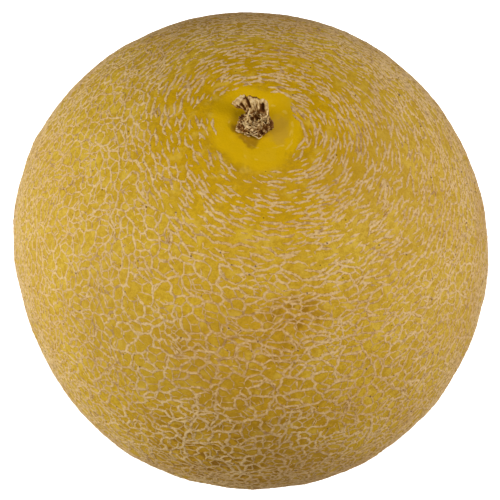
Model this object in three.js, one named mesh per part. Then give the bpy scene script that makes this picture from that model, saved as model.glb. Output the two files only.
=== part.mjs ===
// A whole netted melon: the fruit, which stands on a small flat spot at its blossom end, and the dried
// stub of its stem, which is set in a shallow pit at the crown.
// Millimetres, +Z up. The origin is the middle of the flat spot, straight under the stem. -Y is the front.
import * as THREE from "three";

// Driving dimensions
const fruitWidth = 146;
const fruitHeight = 142; // from the flat spot to the crown of the plain oval, with no dimple in it
const flatRadius = 12; // of the flat spot that the fruit stands on

const dimple = { spread: 13, depth: 2.4 }; // the sunken crown round the stem
const pit = { radius: 5.6, depth: 1.8 }; // the hole that the stub's root fills
const fitGap = 0.35; // clear space between the root and its pit

// Broad bulges (rise over 0) and dents (rise under 0) that keep the fruit from being a perfect oval.
// Azimuth runs from +X towards +Y, spread is how far from its middle a bulge has faded to a third.
const swells = [
  { azimuth: 203, elevation: -11, rise: -2.1, spread: 27 },
  { azimuth: 155, elevation: 14, rise: 0.7, spread: 36 },
  { azimuth: 306, elevation: -25, rise: 1.1, spread: 34 },
  { azimuth: 22, elevation: 12, rise: -0.6, spread: 30 },
  { azimuth: 268, elevation: 20, rise: 0.8, spread: 44 },
  { azimuth: 95, elevation: -8, rise: -0.8, spread: 40 },
  { azimuth: 60, elevation: -48, rise: 0.9, spread: 34 },
];
const swellFade = 14; // a bulge has no effect this near the fruit's axis
const swellFull = 34; // and all its effect from here out

// The dried stub: a low crumbled stump whose back wall is torn off higher and flares out as a fan.
// Heights are over the skin at the pit's edge.
const stub = {
  collarRadius: 5.9,
  collarFoot: 0.85, // height where the stump has spread from its root to the collar's radius
  collarHeight: 1.7, // of the widest part of the stump
  edgeRound: 0.3, // how far each edge of the wall stands out or is broken away
  wall: 1.6,
  rimHeight: 2.9, // of the broken edge in front
  coreHeight: 1.5, // of the sunken core inside the wall
  coreSlope: 1.1, // width of the slope from the wall down to the core
  knob: { radius: 1.6, rise: 0.4 }, // the low bump in the middle of the core
  fanRise: 4.8, // of the fan over the broken edge
  fanFlare: 2.2, // outwards, at the fan's edge
  fanLean: 1.6, // towards -X, at the fan's edge
  fanAzimuth: 102,
  fanWidth: 74, // degrees from the fan's middle to its side
  fanFull: 0.55, // share of that width over which the fan has its whole height
  teeth: 9, // splits round the torn edge
  toothDepth: 0.55,
};

const fruitSegments = 72;
const fruitRows = 38; // along the oval, from the flat spot to the pit
const stubSegments = 54;

const halfWidth = fruitWidth / 2;
const flatAngle = Math.asin(flatRadius / halfWidth); // from the lower pole to the flat spot's edge
const halfHeight = fruitHeight / (1 + Math.cos(flatAngle));
const middleHeight = fruitHeight - halfHeight;

// Height of the crown at a distance from the axis: the oval less the dimple.
function crownHeight(radius) {
  const oval = middleHeight + halfHeight * Math.sqrt(1 - (radius / halfWidth) ** 2);
  return oval - dimple.depth * Math.exp(-((radius / dimple.spread) ** 2));
}

const pitEdge = crownHeight(pit.radius);
const pitFloor = pitEdge - pit.depth;
const coreRadius = stub.collarRadius - stub.wall - stub.coreSlope;

// The fruit's outline from the middle of the flat spot up to the middle of the pit's floor.
function fruitOutline() {
  const outline = [new THREE.Vector2(0, 0)];
  const pitAngle = Math.PI - Math.asin(pit.radius / halfWidth);
  for (let row = 0; row <= fruitRows; row++) {
    const angle = THREE.MathUtils.lerp(flatAngle, pitAngle, row / fruitRows);
    const radius = halfWidth * Math.sin(angle);
    const lower = middleHeight - halfHeight * Math.cos(angle);
    outline.push(new THREE.Vector2(radius, angle < Math.PI / 2 ? lower : crownHeight(radius)));
  }
  outline.push(new THREE.Vector2(pit.radius, pitFloor), new THREE.Vector2(0, pitFloor));
  return outline;
}

// The stub's outline as it would be with its front edge's height all round.
function stubOutline() {
  const rootRadius = pit.radius - fitGap;
  const innerRadius = stub.collarRadius - stub.wall;
  const outline = [
    [rootRadius, fitGap],
    [stub.collarRadius, stub.collarFoot],
    [stub.collarRadius + stub.edgeRound, stub.collarHeight],
    [stub.collarRadius, (stub.collarHeight + stub.rimHeight) / 2],
    [stub.collarRadius - stub.edgeRound, stub.rimHeight],
    [innerRadius + stub.edgeRound, stub.rimHeight - stub.edgeRound],
    [innerRadius - stub.edgeRound, (stub.coreHeight + stub.rimHeight) / 2],
    [coreRadius, stub.coreHeight],
    [stub.knob.radius, stub.coreHeight + stub.knob.rise],
    [0, stub.coreHeight + stub.knob.rise / 2],
  ].map(([radius, height]) => new THREE.Vector2(radius, pitEdge + height));
  const rootEnd = pitFloor + fitGap;
  return [new THREE.Vector2(0, rootEnd), new THREE.Vector2(rootRadius, rootEnd), ...outline];
}

// Turns an outline about Z, then moves each point of the solid by the sculpting function.
function turnedSolid(outline, segments, sculpt) {
  const geometry = new THREE.LatheGeometry(outline, segments).rotateX(Math.PI / 2);
  const places = geometry.getAttribute("position");
  const point = new THREE.Vector3();
  for (let i = 0; i < places.count; i++) {
    sculpt(point.fromBufferAttribute(places, i));
    places.setXYZ(i, point.x, point.y, point.z);
  }
  geometry.computeVertexNormals();
  return geometry;
}

// Unit vector towards an azimuth and an elevation in degrees.
function direction(azimuth, elevation) {
  const polar = THREE.MathUtils.degToRad(90 - elevation);
  const turn = THREE.MathUtils.degToRad(azimuth);
  return new THREE.Vector3(
    Math.sin(polar) * Math.cos(turn),
    Math.sin(polar) * Math.sin(turn),
    Math.cos(polar),
  );
}

const fruitMiddle = new THREE.Vector3(0, 0, middleHeight);
const swellAxes = swells.map((swell) => direction(swell.azimuth, swell.elevation));

// Moves a point of the fruit out or in by the bulges near it. The flat spot and the pit stay true.
function swellFruit(point) {
  const strength = THREE.MathUtils.smoothstep(Math.hypot(point.x, point.y), swellFade, swellFull);
  const outward = point.clone().sub(fruitMiddle).normalize();
  let rise = 0;
  swells.forEach((swell, i) => {
    const apart = THREE.MathUtils.radToDeg(outward.angleTo(swellAxes[i]));
    rise += swell.rise * Math.exp(-((apart / swell.spread) ** 2));
  });
  point.addScaledVector(outward, rise * strength);
}

// Draws the stub's wall up and out where the fan stands, and splits the torn edge into teeth.
function tearStub(point) {
  const above = point.z - pitEdge - stub.collarHeight;
  const radius = Math.hypot(point.x, point.y);
  if (above <= 0 || radius < coreRadius) return;
  const azimuth = Math.atan2(point.y, point.x);
  const fromFan = azimuth - THREE.MathUtils.degToRad(stub.fanAzimuth);
  const apart = THREE.MathUtils.radToDeg(Math.abs(Math.atan2(Math.sin(fromFan), Math.cos(fromFan))));
  const fan = 1 - THREE.MathUtils.smoothstep(apart, stub.fanFull * stub.fanWidth, stub.fanWidth);
  const share = above / (stub.rimHeight - stub.collarHeight); // 0 at the collar and 1 at the torn edge
  const tooth = stub.toothDepth * Math.cos(stub.teeth * azimuth) * share;
  const outward = 1 + (stub.fanFlare * fan * share * share) / radius;
  point.x = point.x * outward - stub.fanLean * fan * share;
  point.y *= outward;
  point.z += share * stub.fanRise * fan + tooth;
}

function piece(name, geometry, color, roughness) {
  const material = new THREE.MeshStandardMaterial({ color, roughness, metalness: 0 });
  const mesh = new THREE.Mesh(geometry, material);
  mesh.name = name;
  return mesh;
}

const melon = new THREE.Group();
melon.add(
  piece("fruit", turnedSolid(fruitOutline(), fruitSegments, swellFruit), 0xc8a53c, 0.6),
  piece("stem_stub", turnedSolid(stubOutline(), stubSegments, tearStub), 0x8f6b3e, 0.9),
);

export default melon;
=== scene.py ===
import math

import bmesh
import bpy
import numpy as np
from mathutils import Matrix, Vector, kdtree


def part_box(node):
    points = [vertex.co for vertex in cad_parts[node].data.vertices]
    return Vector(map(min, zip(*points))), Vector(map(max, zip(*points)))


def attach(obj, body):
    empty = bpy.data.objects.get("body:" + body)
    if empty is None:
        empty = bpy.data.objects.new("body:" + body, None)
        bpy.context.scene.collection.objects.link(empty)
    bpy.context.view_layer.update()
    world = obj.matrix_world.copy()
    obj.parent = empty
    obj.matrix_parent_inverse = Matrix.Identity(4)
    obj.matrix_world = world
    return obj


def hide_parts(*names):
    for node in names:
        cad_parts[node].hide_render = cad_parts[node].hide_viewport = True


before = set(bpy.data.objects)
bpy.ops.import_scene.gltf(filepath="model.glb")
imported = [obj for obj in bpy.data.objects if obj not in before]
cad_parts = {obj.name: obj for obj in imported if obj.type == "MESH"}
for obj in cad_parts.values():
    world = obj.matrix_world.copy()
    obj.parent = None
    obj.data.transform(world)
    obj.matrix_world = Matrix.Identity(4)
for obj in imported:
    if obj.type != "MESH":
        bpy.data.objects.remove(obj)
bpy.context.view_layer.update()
fruitLow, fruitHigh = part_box("fruit")
stubLow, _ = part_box("stem_stub")
print("frame loaded")


def smooth(values, low, high):
    share = np.clip((values - low) / (high - low), 0, 1)
    return share * share * (3 - 2 * share)


def unit(vectors):
    return vectors / np.maximum(np.linalg.norm(vectors, axis=-1, keepdims=True), 1e-12)


def towards(azimuth, elevation):  # unit vector, angles in degrees
    turn = math.radians(azimuth)
    lift = math.radians(elevation)
    return np.array([math.cos(lift) * math.cos(turn), math.cos(lift) * math.sin(turn), math.sin(lift)])


def ripple(points, wavelength, seed, waves=20):  # smooth solid noise, mostly between -1 and 1
    draw = np.random.default_rng(seed)
    ways = unit(draw.normal(size=(waves, 3))) * (2 * math.pi / wavelength)
    ways *= draw.uniform(0.65, 1.5, size=(waves, 1))
    starts = draw.uniform(0, 2 * math.pi, size=waves)
    return np.sin(points @ ways.T + starts).sum(1) / math.sqrt(2 * waves) * 0.9


def solidPiece(name, points, faceSets, sharp=None):  # each set holds faces with one number of corners
    mesh = bpy.data.meshes.new(name)
    mesh.vertices.add(len(points))
    mesh.vertices.foreach_set("co", np.asarray(points, np.float32).ravel())
    corners = np.concatenate([faces.ravel() for faces in faceSets])
    counts = np.concatenate([np.full(len(faces), faces.shape[1]) for faces in faceSets])
    mesh.loops.add(len(corners))
    mesh.loops.foreach_set("vertex_index", corners.astype(np.int32))
    mesh.polygons.add(len(counts))
    mesh.polygons.foreach_set("loop_start", (np.cumsum(counts) - counts).astype(np.int32))
    mesh.polygons.foreach_set("use_smooth", np.ones(len(counts), bool))
    mesh.update(calc_edges=True)
    if sharp is not None:  # an edge is sharp where both its ends are
        ends = np.empty(2 * len(mesh.edges), np.int32)
        mesh.edges.foreach_get("vertices", ends)
        layer = mesh.attributes.new("sharp_edge", "BOOLEAN", "EDGE")
        layer.data.foreach_set("value", sharp[ends].reshape(-1, 2).all(1))
    mesh.validate()
    piece = bpy.data.objects.new(name, mesh)
    bpy.context.scene.collection.objects.link(piece)
    return piece


def capped(rows, columns):  # faces over closed rows of points, with one more point above and one below
    grid = np.arange(rows * columns).reshape(rows, columns)
    right = np.roll(grid, -1, 1)
    quads = np.stack([grid[:-1], grid[1:], right[1:], right[:-1]], 2).reshape(-1, 4)
    top = np.stack([np.full(columns, rows * columns), grid[0], right[0]], 1)
    bottom = np.stack([np.full(columns, rows * columns + 1), right[-1], grid[-1]], 1)
    return [quads, np.concatenate([top, bottom])]


def paint(piece, name, values):  # a number for each vertex, which the material reads
    layer = piece.data.attributes.new(name, "FLOAT", "POINT")
    layer.data.foreach_set("value", np.asarray(values, np.float32))


melonShape = {  # lengths in millimetres, angles in degrees
    "width": 146, "height": 142, "flatRadius": 12,
    "dimpleSpread": 13, "dimpleDepth": 2.4,
    "pitRadius": 5.6, "pitDepth": 1.8,
    "swellFade": 14, "swellFull": 34,
    "swells": [  # azimuth, elevation, rise, spread
        (203, -11, -2.1, 27), (155, 14, 0.7, 36), (306, -25, 1.1, 34), (22, 12, -0.6, 30),
        (268, 20, 0.8, 44), (95, -8, -0.8, 40), (60, -48, 0.9, 34),
    ],
    "skinInset": 0.25,  # the skin lies this far inside the solid, and the net stands on it
    "unevenness": 0.22, "unevenLength": 17,
    "fineShare": 0.4, "fineLength": 0.45,  # a finer unevenness, as shares of the two above
    "floorGap": 0.05,  # the flat spot's skin lies this far above the floor
}

halfWidth = melonShape["width"] / 2
flatAngle = math.asin(melonShape["flatRadius"] / halfWidth)
halfHeight = melonShape["height"] / (1 + math.cos(flatAngle))
middleHeight = melonShape["height"] - halfHeight


def dimpleAt(radius):
    return melonShape["dimpleDepth"] * np.exp(-((radius / melonShape["dimpleSpread"]) ** 2))


def crownTop():  # the oval's highest ring, which lies just outside the pit or further out
    radius = np.linspace(melonShape["pitRadius"], halfWidth, 4000)
    oval = middleHeight + halfHeight * np.sqrt(1 - (radius / halfWidth) ** 2)
    return float(np.max(oval - dimpleAt(radius)))


shapeScale = (fruitHigh.z - fruitLow.z) / crownTop()  # metres for each millimetre of the shape


def wholeSkin(ups):  # the plain solid's surface, in millimetres, for unit vectors from its middle
    radius = halfWidth * np.hypot(ups[:, 0], ups[:, 1])
    height = middleHeight + halfHeight * ups[:, 2] - np.where(ups[:, 2] > 0, dimpleAt(radius), 0)
    places = np.stack([halfWidth * ups[:, 0], halfWidth * ups[:, 1], height], 1)
    outward = unit(places - np.array([0, 0, middleHeight]))
    rise = np.zeros(len(ups))
    for azimuth, elevation, swellRise, spread in melonShape["swells"]:
        apart = np.degrees(np.arccos(np.clip(outward @ towards(azimuth, elevation), -1, 1)))
        rise += swellRise * np.exp(-((apart / spread) ** 2))
    strength = smooth(radius, melonShape["swellFade"], melonShape["swellFull"])
    places += outward * (rise * strength)[:, None]
    return places


def skinAt(ups):  # the skin's places and normals, in millimetres
    shape = melonShape
    away = np.where(np.abs(ups[:, 2:]) < 0.9, np.array([[0, 0, 1.0]]), np.array([[1.0, 0, 0]]))
    firstWay = unit(np.cross(away, ups))
    secondWay = np.cross(ups, firstWay)
    places = wholeSkin(ups)
    step = 2e-3
    firstStep = wholeSkin(unit(ups + step * firstWay)) - places
    secondStep = wholeSkin(unit(ups + step * secondWay)) - places
    normals = unit(np.cross(firstStep, secondStep))
    normals *= np.sign((normals * ups).sum(1))[:, None]
    bumps = shape["unevenness"] * ripple(places, shape["unevenLength"], 5)
    fineUnevenness = shape["fineShare"] * shape["unevenness"]
    bumps += fineUnevenness * ripple(places, shape["fineLength"] * shape["unevenLength"], 6)
    places = places + normals * (bumps - shape["skinInset"])[:, None]
    places[:, 2] = np.maximum(places[:, 2], shape["floorGap"])
    return places, normals


netPlan = {  # lengths in millimetres, angles in degrees
    "sizePatches": [  # azimuth, elevation, factor on the size, spread: where meshes are wider or closer
        (275, 28, 1.04, 26), (335, 42, 0.9, 28), (195, 45, 0.98, 30), (250, -25, 0.98, 30),
        (0, 90, 0.98, 25),
    ],
    "sizeRipple": 0.12, "sizeRippleLength": 0.33,  # a slow change of size, its length in half widths
    "uneven": (0.68, 1.34),  # the least and most that a mesh's size is multiplied by
    "ringedMeshes": (1.4, 2.4),  # from slightly to fully drawn out, in lengths to one width
    "evenRinged": 0.75,  # how much of the unevenness the fully drawn out meshes lose
    "closest": 0.80,  # the least gap between the middles of two meshes, as a share of their size
    "bareRadius": 12.9,
    "bareMore": [(128, 2.2, 30), (273, 4.4, 16)],  # the clear skin reaches further: azimuth, reach, spread
    "bareRipple": 1.5, "bareRippleLength": 0.16,  # its edge goes in and out, the length in half widths
    "ringStretch": 1.5, "ringFullTo": 17, "ringGoneAt": 42,  # meshes drawn out round the stem
    "sideFullTo": 24, "sideGoneAt": 88, "sideStretch": 0.4,
    "sides": [  # azimuth, stretch round the stem, spread: meshes are drawn out more, or less, on these sides
        (350, 1.3, 62), (195, -0.45, 50),
    ],
    "crownTo": 24, "seamAt": 30, "spreadOut": 2.0,  # the crown's meshes are joined apart, up to the seam
    "warp": 1.3, "warpLength": 11,  # pushes that draw meshes out here and there
    "warpFrom": 24, "warpFull": 46,
}
netLayers = [  # meshSize is the gap between the middles of neighbouring meshes
    {
        "seed": 23, "tries": 66000, "meshSize": 2.4,
        "patchMeshes": 2.0,  # the main strands part patches of about this many meshes across
        "keepMain": 0.97, "keepSide": 0.77, "spurs": 0.9, "wide": 1.0, "barbs": 3200, "inRings": 1.0,
    },
    {
        "seed": 41, "tries": 24000, "meshSize": 4.6, "patchMeshes": 1.5,
        "keepMain": 0.6, "keepSide": 0.34, "spurs": 0.3, "wide": 0.82, "barbs": 0, "inRings": 0.1,
    },
]


poleGap = 0.01  # the net is planned to this close to each pole, in radians


def stretchShare(fullTo, goneAt):  # the extra stretch summed over the mercator latitude, from the far side in
    angles = np.geomspace(poleGap, math.pi - poleGap, 3000)
    latitude = np.log(np.tan(angles / 2))
    share = 1 - smooth(np.degrees(angles), fullTo, goneAt)
    steps = np.diff(latitude) * (share[1:] + share[:-1]) / 2
    grown = np.concatenate([[0], np.cumsum(steps)])
    return latitude, grown - grown[-1], share


ringTable = stretchShare(netPlan["ringFullTo"], netPlan["ringGoneAt"])
sideTable = stretchShare(netPlan["sideFullTo"], netPlan["sideGoneAt"])


def sideWeight(azimuth):
    weight = np.full(np.shape(azimuth), netPlan["sideStretch"])
    for middle, stretch, spread in netPlan["sides"]:
        apart = (np.degrees(azimuth) - middle + 180) % 360 - 180
        weight += stretch * np.exp(-((apart / spread) ** 2))
    return weight


def evenLatitude(latitude, azimuth):
    ring = netPlan["ringStretch"] * np.interp(latitude, ringTable[0], ringTable[1])
    return latitude + ring + sideWeight(azimuth) * np.interp(latitude, sideTable[0], sideTable[1])


def drawnOut(latitude, azimuth):  # how many times longer than wide a mesh is there
    ring = netPlan["ringStretch"] * np.interp(latitude, ringTable[0], ringTable[2])
    return 1 + ring + sideWeight(azimuth) * np.interp(latitude, sideTable[0], sideTable[2])


def realLatitude(even, azimuth):  # found by halving the span that it lies in
    low = np.full(len(even), -9.0)
    high = np.full(len(even), 9.0)
    for _ in range(44):
        middle = (low + high) / 2
        over = evenLatitude(middle, azimuth) > even
        high = np.where(over, middle, high)
        low = np.where(over, low, middle)
    return (low + high) / 2


def onSphere(latitude, azimuth):
    polar = 2 * np.arctan(np.exp(latitude))
    return np.stack([np.sin(polar) * np.cos(azimuth), np.sin(polar) * np.sin(azimuth), np.cos(polar)], 1)


def patchFactor(ups, patches):
    factor = np.ones(len(ups))
    for azimuth, elevation, size, spread in patches:
        apart = np.degrees(np.arccos(np.clip(ups @ towards(azimuth, elevation), -1, 1)))
        factor *= size ** np.exp(-((apart / spread) ** 2))
    return factor


def meshSizeAt(ups):  # as a factor
    slow = 1 + netPlan["sizeRipple"] * ripple(ups, netPlan["sizeRippleLength"], 8)
    return patchFactor(ups, netPlan["sizePatches"]) * slow


def scattered(evens, radii, order):  # picks points at least their radius apart
    tree = kdtree.KDTree(len(evens))
    for i, place in enumerate(evens):
        tree.insert(place, i)
    tree.balance()
    free = np.ones(len(evens), bool)
    picked = []
    for i in order:
        if free[i]:
            picked.append(i)
            for _, other, _ in tree.find_range(evens[i], radii[i]):
                free[other] = False
    return np.array(picked)


def placeMeshes(layer, draw):  # the meshes' middles, their angles from the pole, and the patch each is in
    count = layer["tries"]
    heights = draw.uniform(-1, 1, count)
    turns = draw.uniform(-math.pi, math.pi, count)
    polar = np.arccos(heights)
    latitude = np.log(np.tan(np.clip(polar, poleGap, math.pi - poleGap) / 2))
    even = evenLatitude(latitude, turns)
    evens = onSphere(even, turns)
    stretched = drawnOut(latitude, turns)
    sizes = layer["meshSize"] * meshSizeAt(onSphere(latitude, turns)) * np.sqrt(stretched)
    evenness = 1 - netPlan["evenRinged"] * smooth(stretched, *netPlan["ringedMeshes"])
    sizes *= 1 + (draw.uniform(*netPlan["uneven"], count) - 1) * evenness
    radii = netPlan["closest"] * sizes / halfWidth * np.sin(2 * np.arctan(np.exp(even))) / np.sin(polar)
    middles = scattered(evens, radii, np.arange(count))
    patchRadii = radii[middles] * layer["patchMeshes"]
    patches = middles[scattered(evens[middles], patchRadii, np.arange(len(middles)))]
    owner = np.argmax(evens[middles] @ evens[patches].T, 1)
    return even[middles], turns[middles], np.degrees(polar[middles]), owner


def joinMeshes(even, turns, spread):  # triangles between the meshes' middles, and where strands meet in each
    hull = bmesh.new()
    corners = [hull.verts.new(place) for place in onSphere(even + spread, turns)]
    hull.verts.index_update()
    bmesh.ops.convex_hull(hull, input=corners)
    faces = np.array([[v.index for v in f.verts] for f in hull.faces])
    spots = np.array([[v.co[:] for v in f.verts] for f in hull.faces])
    hull.free()
    joints = np.cross(spots[:, 1] - spots[:, 0], spots[:, 2] - spots[:, 0])
    joints = unit(joints) * np.sign((joints * spots[:, 0]).sum(1))[:, None]
    polar = np.arctan2(np.hypot(joints[:, 0], joints[:, 1]), joints[:, 2])
    jointEven = np.log(np.tan(np.clip(polar, 1e-4, math.pi - 1e-4) / 2)) - spread
    return faces, jointEven, np.arctan2(joints[:, 1], joints[:, 0])


# The hull drops meshes that crowd together, as they do near the stem's pole. So the crown's are joined
# once more on their own, spread out from the pole first, and the two patterns meet at a seam.
def joinWithCrown(even, turns, fromPole):
    faces, jointEven, jointTurns = joinMeshes(even, turns, 0)
    chosen = np.union1d(np.unique(faces), np.flatnonzero(fromPole < netPlan["crownTo"]))
    crownFaces, crownEven, crownTurns = joinMeshes(even[chosen], turns[chosen], netPlan["spreadOut"])
    crownFaces = chosen[crownFaces]
    isCrown = fromPole < netPlan["seamAt"]
    outer = ~isCrown[faces].all(1)
    inner = isCrown[crownFaces].all(1)
    faces = np.concatenate([faces[outer], crownFaces[inner]])
    jointEven = np.concatenate([jointEven[outer], crownEven[inner]])
    jointTurns = np.concatenate([jointTurns[outer], crownTurns[inner]])
    return faces, jointEven, jointTurns


def planNet(layer, draw):
    even, turns, fromPole, owner = placeMeshes(layer, draw)
    faces, jointEven, jointTurns = joinWithCrown(even, turns, fromPole)
    edges = np.sort(np.concatenate([faces[:, [0, 1]], faces[:, [1, 2]], faces[:, [2, 0]]]), 1)
    order = np.lexsort((edges[:, 1], edges[:, 0]))
    shared = np.flatnonzero((edges[order[1:]] == edges[order[:-1]]).all(1))
    links = np.stack([order[shared], order[shared + 1]], 1) % len(faces)
    parted = edges[order[shared]]  # the two meshes that each part of a strand runs between
    isMain = owner[parted[:, 0]] != owner[parted[:, 1]]

    latitude = realLatitude(jointEven, jointTurns)
    places = onSphere(latitude, jointTurns)
    push = np.stack([ripple(places, netPlan["warpLength"] / halfWidth, 41 + axis) for axis in range(3)], 1)
    strength = smooth(stemDistance(places), netPlan["warpFrom"], netPlan["warpFull"])
    push *= (netPlan["warp"] / halfWidth * strength)[:, None]
    return unit(places + push), drawnOut(latitude, jointTurns), links, isMain


strandPlan = {  # lengths in millimetres; patches are azimuth, elevation, factor, spread
    "straighten": 0.4, "sidePull": 0.22,  # how far joints go towards their neighbours, a side strand's weight
    "keptRipple": 0.12, "keptRippleLength": 0.2,  # the share of side strands kept changes, in half widths
    "ringedParts": (1.5, 2.6),  # how drawn out meshes are where parts begin to follow rings, and where all do
    "ringedJoints": (1.3, 2.5),  # the same for the joints, and for how wide the strands are
    "keptRinged": 0.95,  # share of the side strands kept in the rings
    "ringAim": 0.93, "ringStray": (0.05, 0.4),  # parts that run across the rings are left out
    "edgeShare": 0.4, "edgeFrom": -1.5, "edgeTo": 1.2,  # fewer are kept at the edge of the clear skin
    "mainFirst": 0.5,  # two main strands are joined before straighter side strands
    "leastStraight": 0.1,  # parts that meet in a sharper bend aren't joined
    "cutRinged": 0.6,  # share of the joints where a strand that runs round the stem is broken
    "cutNear": 23, "cutNearShare": 0.9,  # nearly all of them are broken this near the stem
    "shortest": 1.5,  # lone strands below this length are left out
    "endLoss": (0.1, 0.4), "spur": (0.3, 0.75),  # shares of a part: lost at a free end, and left of a spur
    "barb": (0.8, 1.9),  # shortest and longest of the short branches, which lean one way in each place
    "barbAngle": (40, 80), "barbPlace": (0.15, 0.85),  # off the strand, and share of the way along a part
    "barbLeanLength": 0.22, "barbLeanSpread": 0.25, "barbRinged": 0.4,  # none in the rings
    "bend": 0.15,  # 1 for smooth curves through the joints, 0 for straight parts
    "step": 0.64,
    "wander": 0.11, "wanderLength": 5.5, "shiver": 0.07, "shiverLength": 1.8,
    "width": 1.06, "height": 0.27, "sunk": 0.1, "floorGap": 0.01,
    "footShare": 0.62,  # how far each foot is from the crest, as a share of the width
    "thin": 0.76,  # width of the side strands, as a share of the main ones
    "thinPatches": [(270, 22, 0.66, 30), (335, 30, 0.78, 30)],
    "widthPatches": [
        (275, -14, 1.2, 28), (205, 50, 0.76, 30), (335, 38, 0.86, 32), (185, 10, 0.9, 40),
        (350, 70, 0.84, 20), (272, 57, 0.86, 13),
    ],
    "nearStem": 1.12,  # strands that run round the stem are this much wider
    "thinRinged": 0.9,  # and the side strands among them are nearly as wide as the main ones
    "tips": (0.3, 0.75), "tipLength": 1.6,  # share of the width at a free end and at a joined one
    "swelling": 0.22, "swellLength": 3.0, "lumpiness": 0.18, "lumpLength": 1.6,
    "ragged": 0.24, "raggedLength": 1.5,  # share by which the feet go in and out
}


def straighten(places, links, isMain):  # main strands pull their bends straight
    pull = np.where(isMain, 1.0, strandPlan["sidePull"])[:, None]
    total = np.zeros_like(places)
    weight = np.zeros((len(places), 1))
    for here, there in ((0, 1), (1, 0)):
        np.add.at(total, links[:, here], places[links[:, there]] * pull)
        np.add.at(weight, links[:, here], pull)
    middles = total / np.maximum(weight, 1e-9)
    return unit(places + strandPlan["straighten"] * (middles - places))


def stemDistance(ups):  # along the skin, in millimetres
    return halfWidth * np.arccos(np.clip(ups[:, 2], -1, 1))


def bareMore(ups):  # how much further the clear skin reaches, in millimetres
    turn = np.degrees(np.arctan2(ups[:, 1], ups[:, 0]))
    more = np.zeros(len(ups))
    for azimuth, reach, spread in netPlan["bareMore"]:
        more += reach * np.exp(-((((turn - azimuth + 180) % 360 - 180) / spread) ** 2))
    return more


def keptParts(layer, draw, places, stretched, links, isMain):  # which parts stay, and which become spurs
    plan = strandPlan
    middles = unit(places[links[:, 0]] + places[links[:, 1]])
    spans = places[links[:, 1]] - places[links[:, 0]]
    aroundWay = unit(np.cross(np.array([[0, 0, 1.0]]), middles))
    around = np.abs((unit(spans) * aroundWay).sum(1))  # 1 where a part runs round the stem
    fromStem = stemDistance(middles)
    bareEdge = netPlan["bareRadius"] + bareMore(middles)
    bareEdge = bareEdge + netPlan["bareRipple"] * ripple(middles, netPlan["bareRippleLength"], 31)
    inside = fromStem > bareEdge
    ringed = smooth((stretched[links[:, 0]] + stretched[links[:, 1]]) / 2, *plan["ringedParts"])
    side = layer["keepSide"] + plan["keptRipple"] * ripple(middles, plan["keptRippleLength"], 32)
    side += (plan["keptRinged"] - side) * ringed * layer["inRings"]
    chance = np.where(isMain, layer["keepMain"], side)
    chance = chance * (1 - ringed * smooth(plan["ringAim"] - around, *plan["ringStray"]))
    atEdge = smooth(fromStem, bareEdge + plan["edgeFrom"], bareEdge + plan["edgeTo"])
    chance *= atEdge * (1 - plan["edgeShare"]) + plan["edgeShare"]
    chance *= 1 - ringed * (1 - layer["inRings"])
    kept = (draw.uniform(size=len(links)) < chance) & inside
    spurs = (draw.uniform(size=len(links)) < layer["spurs"] * (1 - ringed)) & inside & ~kept
    return kept, spurs


def joinParts(draw, places, links, kept, isMain, ringed):  # the straightest pair at each joint is joined
    plan = strandPlan
    partner = {}
    meeting = {}
    for part in np.flatnonzero(kept):
        for side in (0, 1):
            meeting.setdefault(links[part, side], []).append((part, side))
    for joint, ends in meeting.items():
        ways = [places[links[part, 1 - side]] - places[joint] for part, side in ends]
        ways = [way / max(np.linalg.norm(way), 1e-9) for way in ways]
        best = None
        for i in range(len(ends)):
            for j in range(i):
                bothMain = isMain[ends[i][0]] and isMain[ends[j][0]]
                score = -ways[i] @ ways[j] + plan["mainFirst"] * bothMain
                if best is None or score > best[0]:
                    best = (score, ends[i], ends[j])
        cutChance = plan["cutRinged"] * ringed[joint]
        if stemDistance(places[joint : joint + 1])[0] < plan["cutNear"]:
            cutChance = plan["cutNearShare"]
        if best and best[0] > plan["leastStraight"] and draw.uniform() > cutChance:
            partner[best[1]] = best[2]
            partner[best[2]] = best[1]
    runs = []
    used = set()
    starts = [(part, side) for part in np.flatnonzero(kept) for side in (0, 1)]
    starts.sort(key=lambda end: end in partner)  # open ends first, closed loops last
    for part, side in starts:
        if part in used:
            continue
        joints, parts = [links[part, side]], []
        while part not in used:
            used.add(part)
            parts.append(part)
            joints.append(links[part, 1 - side])
            if (part, 1 - side) not in partner:
                break
            part, side = partner[(part, 1 - side)]
        freeStart, freeEnd = (len(meeting[joint]) < 3 for joint in (joints[0], joints[-1]))
        runs.append((joints, parts, freeStart, freeEnd))
    return runs


def layRuns(draw, places, links, runs, spurs):  # each strand's places, parts and free ends
    lines = []
    for joints, parts, freeStart, freeEnd in runs:
        line = places[joints].copy()
        if freeStart:
            line[0] += (line[1] - line[0]) * draw.uniform(*strandPlan["endLoss"])
        if freeEnd:
            line[-1] += (line[-2] - line[-1]) * draw.uniform(*strandPlan["endLoss"])
        length = np.linalg.norm(np.diff(line, axis=0), axis=1).sum() * halfWidth
        if length > strandPlan["shortest"] or not (freeStart and freeEnd):
            lines.append((line, parts, freeStart, freeEnd))
    for part in np.flatnonzero(spurs):
        root, tip = places[links[part]][:: draw.choice([-1, 1])]
        line = np.stack([root, root + (tip - root) * draw.uniform(*strandPlan["spur"])])
        lines.append((line, [part], False, True))
    return lines


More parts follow.
